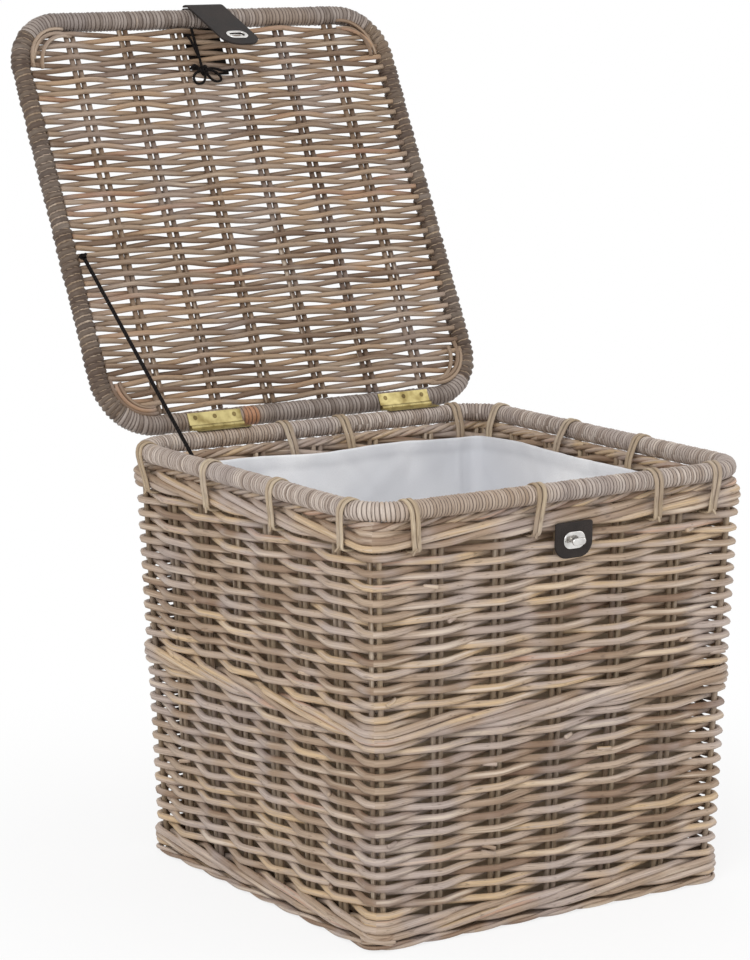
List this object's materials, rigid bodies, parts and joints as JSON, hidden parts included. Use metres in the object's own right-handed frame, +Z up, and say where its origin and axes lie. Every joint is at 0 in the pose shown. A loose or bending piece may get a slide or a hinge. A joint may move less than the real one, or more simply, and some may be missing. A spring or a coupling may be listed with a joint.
{
  "type": "lidded storage basket",
  "caption": "Square woven rattan storage basket with a cloth liner, a hinged woven lid held open by a cord, and a leather strap that closes on a turn catch.",
  "frame": {"origin": "middle of the base, on the surface that the basket stands on", "axes": "+Z up, -Y towards the front with the catch, +X to the right of someone who faces the front; the lid stands open as at rest"},
  "size_m": [0.488, 0.712, 0.8743],
  "materials": {
    "rattan_pole": "dry, matt",
    "rattan_peel": "dry, matt, greyed",
    "rattan_rods": "dry, matt, greyed",
    "rattan_stakes": "dry, matt, greyed",
    "rattan_lid_rods": "dry, matt",
    "rattan_lashing": "dry, matt, pale",
    "cotton": "plain weave",
    "brass": "thin plated",
    "leather": "matt",
    "bright_metal": "polished",
    "black_cord": "twisted"
  },
  "bodies": {
    "basket": {"rim_pole": "rattan_pole", "rim_wrapping": "rattan_peel", "bottom_waling": "rattan_rods", "lower_siding": "rattan_rods", "middle_waling": "rattan_rods", "upper_siding": "rattan_rods", "top_waling": "rattan_rods", "top_border": "rattan_rods", "front_stakes": "rattan_stakes", "right_stakes": "rattan_stakes", "back_stakes": "rattan_stakes", "left_stakes": "rattan_stakes", "foot_border": "rattan_rods", "base_mat": "rattan_rods", "base_sticks": "rattan_rods", "liner": "cotton", "rim_lashings": "rattan_lashing", "left_hinge_rim_leaf": "brass", "right_hinge_rim_leaf": "brass", "left_hinge_pin": "brass", "right_hinge_pin": "brass", "hinge_rim_screws": "brass", "catch_patch": "leather", "catch_plate": "bright_metal", "catch_rivets": "bright_metal", "stay_cord": "black_cord", "stay_lower_knot": "black_cord"},
    "lid": {"lid_pole": "rattan_pole", "lid_front_wrapping": "rattan_peel", "lid_right_wrapping": "rattan_peel", "lid_back_wrapping": "rattan_peel", "lid_left_wrapping": "rattan_peel", "lid_stakes": "rattan_stakes", "lid_weave": "rattan_lid_rods", "left_hinge_lid_leaf": "brass", "right_hinge_lid_leaf": "brass", "hinge_lid_screws": "brass", "strap_flap": "leather", "strap_tie": "black_cord", "stay_upper_knot": "black_cord"},
    "strap": {"strap_tail": "leather", "eyelet_ring": "bright_metal", "eyelet_washer": "bright_metal"},
    "knob": {"turn_knob": "bright_metal"}
  },
  "joints": [
    {"name": "lid_hinge", "type": "hinge", "parent": "basket", "child": "lid", "pos_m": [0, 0.236, 0.4415], "axis": [1, 0, 0], "range_deg": [0, 116.5], "deforming": ["stay_cord"]},
    {"name": "strap_swing", "type": "hinge", "parent": "lid", "child": "strap", "pos_m": [0.007, 0.45779, 0.85833], "axis": [-1, 0, 0], "range_deg": [0, 50.5]},
    {"name": "knob_turn", "type": "hinge", "parent": "basket", "child": "knob", "pos_m": [0.007, -0.2288, 0.382], "axis": [0, -0.9994, -0.0337], "range_deg": [0, 90]}
  ],
  "couplings": [
    {"joint": "strap_swing", "follows": "lid_hinge", "ratio": 0.43348}
  ]
}
